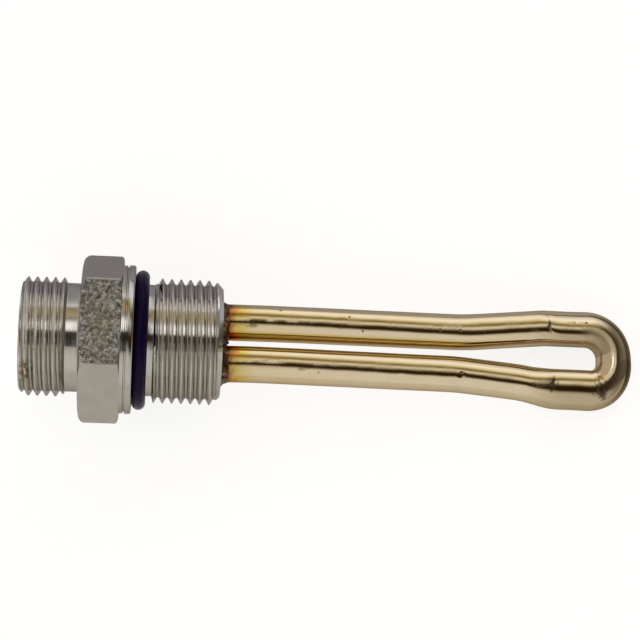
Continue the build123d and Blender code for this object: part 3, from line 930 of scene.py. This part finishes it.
# scattered specks and brown stains
sp = nd(t, "ShaderNodeTexVoronoi", {"feature": "F1"}, out=None, Vector=loc, Scale=0.42, Randomness=1.0)
spot = smooth(t, ma(t, "ADD", sp.outputs[0], lin(t, noise(t, loc, 3.0, 2.0), 0.3, 0.7, -0.05, 0.05)), 0.020, 0.065, 1.0, 0.0)
rare = smooth(t, nd(t, "ShaderNodeSeparateColor", out=0, i0=sp.outputs[1]), 0.74, 0.78)
spot = ma(t, "MULTIPLY", spot, rare)
stain = smooth(t, noise(t, loc, 0.55, 4.0, 0.7), 0.66, 0.76, 0.0, 0.5)


def blob(s0, a0, ws, wa, soft=0.35, wob=0.25):
    """A ragged mark at arc length s0 and angle a0, as a 0..1 mask."""
    u_ = ma(t, "MULTIPLY", ma(t, "SUBTRACT", arc, float(s0)), 1.0 / ws)
    v_ = ma(t, "MULTIPLY", ma(t, "SUBTRACT", angd, float(a0)), 1.0 / wa)
    r_ = ma(t, "SQRT", ma(t, "ADD", ma(t, "MULTIPLY", u_, u_), ma(t, "MULTIPLY", v_, v_)))
    r_ = ma(t, "ADD", r_, lin(t, noise(t, loc, 2.4, 3.0, 0.65), 0.25, 0.75, -wob, wob))
    return smooth(t, r_, 1.0 - soft, 1.0, 1.0, 0.0)


def add(a_, b_):
    return ma(t, "MAXIMUM", a_, b_)


dark = ma(t, "MULTIPLY", spot, 0.5)
marks = [
    (s_at(31.6), 36, 0.34, 4.5, 0.6), (s_at(45.8), 21, 0.32, 4.5, 0.8), (s_at(44.7), -15, 0.26, 4, 0.5), (s_at(49.3), -23, 0.26, 4, 0.8),
    (s_at(65.8), -8, 0.40, 5, 0.6), (s_at(70.6), -7, 0.36, 5, 0.7), (s_at(96.0), 16, 0.26, 4, 0.5), (s_at(98.6), 16, 0.34, 5, 0.7),
    (s_at(87.0), -18, 0.9, 3, 0.5), (s_at(70.6, False), 4, 0.5, 5, 0.6), (s_at(37.5, False), 14, 0.30, 4, 0.4), (s_at(39.5, False), 28, 0.28, 4, 0.4),
]
for m_ in marks:
    dark = add(dark, ma(t, "MULTIPLY", blob(*m_[:4], wob=0.35), m_[4]))
# die marks across both legs
dark = add(dark, ma(t, "MULTIPLY", blob(s_rear, 2, 0.42, 15, 0.5, 0.45), 0.75))
dark = add(dark, ma(t, "MULTIPLY", blob(s_front, 10, 0.24, 12, 0.5, 0.40), 0.60))
# painted reflection: a dark ragged patch on the front bend, over its ripples, where a dark edge is reflected
bend_dark_reflection = blob(s_at(101.2, False), 28, 0.75, 26, 0.3, 0.45)
dark = add(dark, ma(t, "MULTIPLY", bend_dark_reflection, 0.85))
brown = add(stain, ma(t, "MULTIPLY", blob(s_at(103.7, False), 30, 1.7, 15, 0.6, 0.4), 0.65))
brown = add(brown, ma(t, "MULTIPLY", blob(s_at(36.0, False), 20, 1.4, 9, 0.7), 0.35))
brown = add(brown, ma(t, "MULTIPLY", blob(s_at(25.5), -22, 1.6, 10, 0.7), 0.5))
brown = add(brown, ma(t, "MULTIPLY", blob(s_at(28.0, False), 0, 1.6, 10, 0.7), 0.45))
# painted shade: the lower side of the loop end is darkened, from x 82 on
loop_underside_shade = ma(t, "MULTIPLY", smooth(t, x, 82.0, 95.0), smooth(t, ma(t, "MULTIPLY", angd, ma(t, "MULTIPLY_ADD", front, -2.0, 1.0)), -18.0, -9.0, 1.0, 0.0))
straw = mix(t, loop_underside_shade, straw, mix(t, 1.0, straw, col(0.68, 0.65, 0.60), "MULTIPLY"))
rear = ma(t, "SUBTRACT", 1.0, front)
# painted reflection: a gold tint along the lower side of the rear leg, fading out past x 66
gold_reflection_band = ma(t, "MULTIPLY", ma(t, "MULTIPLY", smooth(t, angd, -45.0, -35.0, 1.0, 0.0), smooth(t, angd, -75.0, -60.0)), ma(t, "MULTIPLY", rear, smooth(t, x, 66.0, 90.0, 1.0, 0.0)))
straw = mix(t, gold_reflection_band, straw, mix(t, 1.0, straw, col(0.85, 0.77, 0.42), "MULTIPLY"))
c = mix(t, ma(t, "MULTIPLY", brown, 0.8), straw, col(0.36, 0.24, 0.12))
c = mix(t, dark, c, col(0.07, 0.045, 0.025))
rough = ma(t, "ADD", 0.060, lin(t, streak, 0.3, 0.7, -0.02, 0.035))
rough = ma(t, "ADD", rough, ma(t, "MULTIPLY", ma(t, "MAXIMUM", dark, brown), 0.3))
rough = ma(t, "ADD", rough, smooth(t, run, 0.0, 2.5, 0.05, 0.0))
dull = ma(t, "MULTIPLY", ma(t, "MULTIPLY", rear, smooth(t, angd, -6.0, 12.0, 1.0, 0.0)), ma(t, "ADD", smooth(t, x, 91.0, 93.0, 0.0, 0.07), smooth(t, x, 96.0, 100.5, 0.0, 0.26)))
rough = ma(t, "ADD", rough, dull)
hb = ma(t, "ADD", ma(t, "MULTIPLY", streak, 0.8), ma(t, "MULTIPLY", noise(t, loc, 1.4, 3.0, 0.55), 0.5))
scuff = add(blob(s_at(68.6), 8, 3.4, 11, 0.6, 0.4), blob(s_at(88.6, False), 6, 2.8, 11, 0.6, 0.4))
scuff_h = noise(t, vec(t, ma(t, "MULTIPLY", arc, 2.2), ma(t, "MULTIPLY", angd, 0.35), 0.0), 1.0, 3.0, 0.7)
phi = ma(t, "MULTIPLY", angd, ma(t, "MULTIPLY_ADD", front, -2.0, 1.0))
ridge = ma(t, "MULTIPLY", smooth(t, phi, -15.0, -7.0), smooth(t, phi, 9.0, 17.0, 1.0, 0.0))
ridge = ma(t, "MULTIPLY", ridge, smooth(t, noise(t, vec(t, ma(t, "MULTIPLY", arc, 0.16), front, 0.0), 1.0, 2.0, 0.6), 0.40, 0.62, 0.12, 1.0))
scuff = add(scuff, ma(t, "MULTIPLY", ridge, 0.55))
hb = ma(t, "ADD", hb, ma(t, "MULTIPLY", ma(t, "MULTIPLY", scuff, scuff_h), 7.0))
n1 = bump(t, hb, 0.0000055, 0.7)
n2 = bump(t, ma(t, "SUBTRACT", 1.0, dark), 0.00003, 0.6, n1)
put(t, p, Base_Color=c, Metallic=1.0, Roughness=rough, Normal=n2, Specular_Tint=(0.66, 0.60, 0.50, 1.0))
build("heating_element", P, F, sh_m, "element_sheath", {"arc": arc_v, "ang": ang_v}, sharp=40.0)
print("sheath", len(P), "points", sum(len(f) - 2 for f in F), "triangles")

# ======================================================================================
# braze pool: a lumpy fillet round both legs with beads on it
# ======================================================================================
st = 0.085
gy = np.arange(-10.3, 10.3 + st, st)
gz = np.arange(-5.7, 5.7 + st, st)
Y, Z = np.meshgrid(gy, gz, indexing="ij")
d1 = np.hypot(Y - leg_y, Z) - sheath_r
d2 = np.hypot(Y + leg_y, Z) - sheath_r
dm = np.minimum(d1, d2)
lum = (0.5 * np.sin(1.7 * Y + 0.8) * np.sin(2.1 * Z + 0.3) + 0.3 * np.sin(4.1 * Y + 2.0 * Z) + 0.25 * np.sin(6.3 * Z - 3.7 * Y + 1.2))
spread = 0.98 + 0.16 * lum
h = 1.62 * np.clip(1 - np.maximum(dm, 0) / spread, 0, 1) ** 2.1
gap_w = np.clip(1 - np.abs(Y) / 1.5, 0, 1) * np.clip(1 - np.abs(Z) / 3.9, 0, 1) ** 0.6
h = np.maximum(h, 1.75 * gap_w ** 0.6 * (0.9 + 0.15 * lum))
h = h * (1 + 0.10 * lum)
for by, bz, br, bh in ((5.9, 4.9, 0.55, 0.55), (4.7, 5.1, 0.5, 0.9), (3.2, 4.75, 0.5, 1.1), (1.6, 3.1, 0.6, 0.9), (-1.4, 3.0, 0.6, 0.6),
                       (-6.2, 4.6, 0.5, 0.7), (-4.4, 4.8, 0.5, 0.5), (7.9, 3.2, 0.5, 0.5), (-8.2, 2.6, 0.5, 0.6), (0.2, 1.6, 0.7, 0.5),
                       (8.7, -1.0, 0.5, 0.4), (-8.8, -1.6, 0.5, 0.5), (4.2, -4.8, 0.6, 0.6), (-4.9, -4.7, 0.6, 0.5), (0.0, -2.3, 0.7, 0.5)):
    q = ((Y - by) ** 2 + (Z - bz) ** 2) / br ** 2
    h = np.where(q < 1, np.maximum(h, h * 0.5 + bh * np.sqrt(np.clip(1 - q, 0, 1))), h)
keep_c = (h > 0.015) & (dm > -0.22)
cell = keep_c[:-1, :-1] & keep_c[1:, :-1] & keep_c[1:, 1:] & keep_c[:-1, 1:]
gid = np.arange(Y.size).reshape(Y.shape)
top_P = np.stack([eng_end_x + h, Y, Z], 2).reshape(-1, 3)
bot_P = np.stack([eng_end_x - 0.06 + 0 * h, Y, Z], 2).reshape(-1, 3)
P = np.concatenate([top_P, bot_P])
off_b = Y.size
F, edge_count = [], {}
ci, cj = np.where(cell)
for i, j in zip(ci, cj):
    q = (int(gid[i, j]), int(gid[i + 1, j]), int(gid[i + 1, j + 1]), int(gid[i, j + 1]))
    F.append(q)
    F.append(tuple(v + off_b for v in q[::-1]))
    for a_, b_ in ((q[0], q[1]), (q[1], q[2]), (q[2], q[3]), (q[3], q[0])):
        k = (min(a_, b_), max(a_, b_))
        edge_count[k] = edge_count.get(k, 0) + 1
for (a_, b_), n in edge_count.items():
    if n == 1:
        F.append((a_, b_, b_ + off_b, a_ + off_b))
used = np.unique(np.array([v for f in F for v in f]))
remap = -np.ones(len(P), int)
remap[used] = np.arange(len(used))
P = P[used]
F = [[int(remap[v]) for v in f] for f in F]
F = orient(P, F)
br_m, t, p = material("braze_alloy")
loc = attr(t, "loc", 1)
n_a = noise(t, loc, 0.55, 4.0, 0.65)
n_b = noise(t, loc, 2.2, 4.0, 0.7)
c = ramp(t, n_a, [(0.30, col(0.035, 0.022, 0.014)), (0.46, col(0.085, 0.045, 0.022)), (0.56, col(0.22, 0.115, 0.045)), (0.64, col(0.46, 0.32, 0.15)), (0.74, col(0.74, 0.66, 0.50))])
c = mix(t, smooth(t, n_b, 0.55, 0.68, 0.0, 0.7), c, col(0.06, 0.035, 0.025))
put(t, p, Base_Color=c, Metallic=0.9, Roughness=lin(t, n_b, 0.3, 0.7, 0.10, 0.28), Normal=bump(t, ma(t, "ADD", n_b, ma(t, "MULTIPLY", n_a, 1.5)), 0.00016, 0.8))
build("braze", P, F, br_m, "braze_pool", sharp=60.0)
print("braze", len(P), "points", sum(len(f) - 2 for f in F), "triangles")

# ======================================================================================
# the pieces inside keep their CAD meshes and get their own materials
# ======================================================================================


def inner(name, make):
    m, t, p = material(name)
    make(t, p, local_mm(t))
    return m


def m_carrier(t, p, loc):
    a = noise(t, loc, 0.6, 3.0, 0.6)
    b_ = noise(t, loc, 8.0, 3.0, 0.6)
    c = mix(t, lin(t, a, 0.3, 0.7), col(0.018, 0.018, 0.020), col(0.030, 0.029, 0.029))
    c = mix(t, smooth(t, b_, 0.62, 0.75, 0.0, 0.4), c, col(0.09, 0.085, 0.08))
    put(t, p, Base_Color=c, Roughness=lin(t, b_, 0.3, 0.7, 0.38, 0.52), Normal=bump(t, b_, 0.00003, 0.6))


def m_contact(t, p, loc):
    a = noise(t, loc, 0.9, 3.0, 0.6)
    s_ = nd(t, "ShaderNodeSeparateXYZ", out=0, i0=loc)
    lines = noise(t, vec(t, s_, 0.0, 0.0), 14.0, 3.0, 0.6)
    c = mix(t, lin(t, a, 0.3, 0.7), col(0.74, 0.70, 0.60), col(0.66, 0.58, 0.42))
    c = mix(t, lin(t, lines, 0.45, 0.75, 0.0, 0.35), c, col(0.55, 0.47, 0.30))
    put(t, p, Base_Color=c, Metallic=1.0, Roughness=lin(t, lines, 0.3, 0.7, 0.2, 0.34), Normal=bump(t, lines, 0.00001, 0.7))


def m_resin(t, p, loc):
    a = noise(t, loc, 0.7, 4.0, 0.6)
    c = mix(t, lin(t, a, 0.3, 0.7), col(0.05, 0.05, 0.056), col(0.09, 0.09, 0.095))
    put(t, p, Base_Color=c, Roughness=lin(t, a, 0.3, 0.7, 0.25, 0.4), Normal=bump(t, a, 0.0001, 0.4))


def m_powder(t, p, loc):
    a = noise(t, loc, 12.0, 4.0, 0.7)
    c = mix(t, lin(t, a, 0.3, 0.7), col(0.84, 0.83, 0.80), col(0.74, 0.73, 0.70))
    put(t, p, Base_Color=c, Roughness=0.92, Normal=bump(t, a, 0.00008, 0.9))


def m_ceramic(t, p, loc):
    a = noise(t, loc, 3.0, 4.0, 0.6)
    c = mix(t, lin(t, a, 0.3, 0.7), col(0.86, 0.84, 0.78), col(0.80, 0.77, 0.70))
    put(t, p, Base_Color=c, Roughness=lin(t, a, 0.3, 0.7, 0.3, 0.5), Normal=bump(t, a, 0.00003, 0.6))


def m_seal(t, p, loc):
    a = noise(t, loc, 2.0, 3.0, 0.6)
    c = mix(t, lin(t, a, 0.3, 0.7), col(0.58, 0.30, 0.20), col(0.48, 0.23, 0.15))
    put(t, p, Base_Color=c, Roughness=lin(t, a, 0.3, 0.7, 0.45, 0.65), Normal=bump(t, a, 0.00005, 0.6))


def m_pin(t, p, loc):
    s_ = nd(t, "ShaderNodeSeparateXYZ", out=None, i0=loc)
    a = noise(t, vec(t, ma(t, "MULTIPLY", s_.outputs[0], 0.1), s_.outputs[1], s_.outputs[2]), 9.0, 3.0, 0.6)
    c = mix(t, lin(t, a, 0.3, 0.7), col(0.62, 0.60, 0.57), col(0.50, 0.48, 0.45))
    put(t, p, Base_Color=c, Metallic=1.0, Roughness=lin(t, a, 0.3, 0.7, 0.24, 0.4), Normal=bump(t, a, 0.00001, 0.6))


def m_coil(t, p, loc):
    s_ = nd(t, "ShaderNodeSeparateXYZ", out=0, i0=loc)
    w_ = ma(t, "SINE", ma(t, "MULTIPLY", s_, 14.0))
    c = mix(t, lin(t, w_, -1.0, 1.0), col(0.20, 0.18, 0.17), col(0.42, 0.39, 0.36))
    put(t, p, Base_Color=c, Metallic=1.0, Roughness=0.42, Normal=bump(t, w_, 0.0001, 0.8))


plan = {
    "terminal_carrier": ("carrier_plastic", m_carrier), "line_contact": ("contact_brass", m_contact), "neutral_contact": ("contact_brass", m_contact),
    "earth_contact": ("contact_brass", m_contact), "potting": ("potting_resin", m_resin), "magnesia_fill": ("magnesia", m_powder),
    "line_leg_bushing": ("ceramic", m_ceramic), "neutral_leg_bushing": ("ceramic", m_ceramic), "line_end_seal": ("end_seal", m_seal),
    "neutral_end_seal": ("end_seal", m_seal), "line_cold_pin": ("pin_steel", m_pin), "neutral_cold_pin": ("pin_steel", m_pin),
    "resistance_coil": ("coil_alloy", m_coil),
}
made = {}
for node, (slot_name, make) in plan.items():
    if slot_name not in made:
        made[slot_name] = inner(slot_name, make)
    o = nodes[node]
    o.data.materials.clear()
    o.data.materials.append(made[slot_name])

# ======================================================================================
print("cad   ", [[round(float(c) * 1000, 2) for c in v] for v in cad_box])
